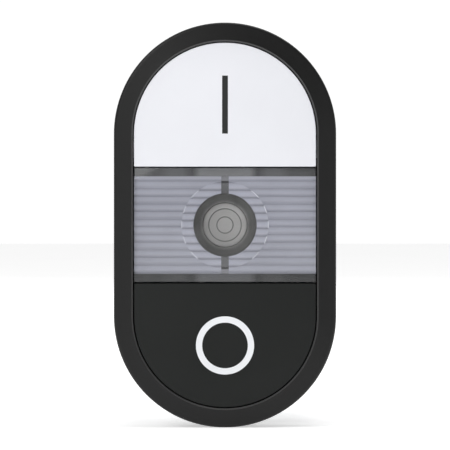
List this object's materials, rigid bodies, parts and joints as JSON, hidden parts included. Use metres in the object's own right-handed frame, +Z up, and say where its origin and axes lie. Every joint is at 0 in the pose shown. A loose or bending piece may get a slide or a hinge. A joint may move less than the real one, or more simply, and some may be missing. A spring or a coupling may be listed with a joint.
{
  "type": "illuminated double pushbutton",
  "caption": "Obround panel-mount start and stop pushbutton with a clear indicator lens between the caps, and contact blocks behind the panel.",
  "frame": {"origin": "on the axis of the round neck, in the plane of the panel's front face, where the gasket seats", "axes": "+X to the user's right, +Y into the panel, +Z up; the caps face -Y"},
  "size_m": [0.0296, 0.0531, 0.054],
  "materials": {
    "bezel_plastic": "satin moulded",
    "housing_plastic": "fine moulded texture",
    "gasket_rubber": "matt",
    "start_cap": "satin white",
    "stop_cap": "satin black",
    "start_ink": "matt dark grey inlay",
    "stop_ink": "matt white inlay",
    "lens_clear": "clear polished",
    "guide_clear": "clear polished",
    "rod_plastic": "natural acetal",
    "seal_rubber": "matt",
    "spring_steel": "drawn wire",
    "nut_metal": "satin die-cast",
    "adapter_plastic": "matt moulded",
    "lever_plastic": "satin light grey",
    "pin_steel": "ground",
    "block_plastic": "matt light grey",
    "make_cover": "satin green",
    "break_cover": "satin red",
    "lamp_cover": "satin white",
    "make_stem": "satin green",
    "break_stem": "satin red",
    "contact_brass": "stamped",
    "strip_brass": "tinned",
    "screw_steel": "zinc plated",
    "clamp_steel": "zinc plated",
    "lamp_epoxy": "clear epoxy",
    "board_laminate": "green solder mask"
  },
  "bodies": {
    "head": {"front_bezel": "bezel_plastic", "switch_housing": "housing_plastic", "panel_gasket": "gasket_rubber", "indicator_lens": "lens_clear", "light_guide": "guide_clear", "start_wiper_seal": "seal_rubber", "stop_wiper_seal": "seal_rubber", "start_return_spring": "spring_steel", "stop_return_spring": "spring_steel"},
    "start_actuator": {"start_button": "start_cap", "start_symbol": "start_ink", "start_push_rod": "rod_plastic"},
    "stop_actuator": {"stop_button": "stop_cap", "stop_symbol": "stop_ink", "stop_push_rod": "rod_plastic"},
    "nut": {"ring_nut": "nut_metal"},
    "rear_unit": {"fixing_adapter": "adapter_plastic", "lever_pin": "pin_steel", "start_block_housing": "block_plastic", "start_block_cover": "make_cover", "start_block_terminals": "strip_brass", "start_block_screws": "screw_steel", "start_block_clamps": "clamp_steel", "stop_block_housing": "block_plastic", "stop_block_cover": "break_cover", "stop_block_terminals": "strip_brass", "stop_block_screws": "screw_steel", "stop_block_clamps": "clamp_steel", "lamp_block_housing": "block_plastic", "lamp_block_cover": "lamp_cover", "lamp_block_terminals": "strip_brass", "lamp_block_screws": "screw_steel", "lamp_block_clamps": "clamp_steel", "start_block_spring": "spring_steel", "stop_block_spring": "spring_steel", "lamp_block_led": "lamp_epoxy", "lamp_block_board": "board_laminate"},
    "lever": {"lock_lever": "lever_plastic"},
    "make_plunger": {"start_block_stem": "make_stem", "start_block_bridge": "contact_brass"},
    "break_plunger": {"stop_block_stem": "break_stem", "stop_block_bridge": "contact_brass"}
  },
  "joints": [
    {"name": "start_press", "type": "slide", "parent": "head", "child": "start_actuator", "axis": [0, 1, 0], "range_m": [0, 0.0035], "stiffness_N_per_m": 600, "springref_m": -0.004, "deforming": ["start_return_spring"]},
    {"name": "stop_press", "type": "slide", "parent": "head", "child": "stop_actuator", "axis": [0, 1, 0], "range_m": [0, 0.0035], "stiffness_N_per_m": 600, "springref_m": -0.004, "deforming": ["stop_return_spring"]},
    {"name": "nut_travel", "type": "slide", "parent": "head", "child": "nut", "axis": [0, 1, 0], "range_m": [0, 0.02]},
    {"name": "adapter_pull", "type": "slide", "parent": "nut", "child": "rear_unit", "axis": [0, 1, 0], "range_m": [0, 0.02]},
    {"name": "lever_turn", "type": "hinge", "parent": "rear_unit", "child": "lever", "pos_m": [0.006, 0.01075, 0.0139], "axis": [0, 1, 0], "range_deg": [0, 45]},
    {"name": "make_plunger_slide", "type": "slide", "parent": "rear_unit", "child": "make_plunger", "axis": [0, 1, 0], "range_m": [0, 0.0035], "deforming": ["start_block_spring"]},
    {"name": "break_plunger_slide", "type": "slide", "parent": "rear_unit", "child": "break_plunger", "axis": [0, 1, 0], "range_m": [0, 0.0035], "deforming": ["stop_block_spring"]}
  ],
  "couplings": [
    {"joint": "make_plunger_slide", "follows": "start_press", "ratio": 1},
    {"joint": "break_plunger_slide", "follows": "stop_press", "ratio": 1}
  ]
}
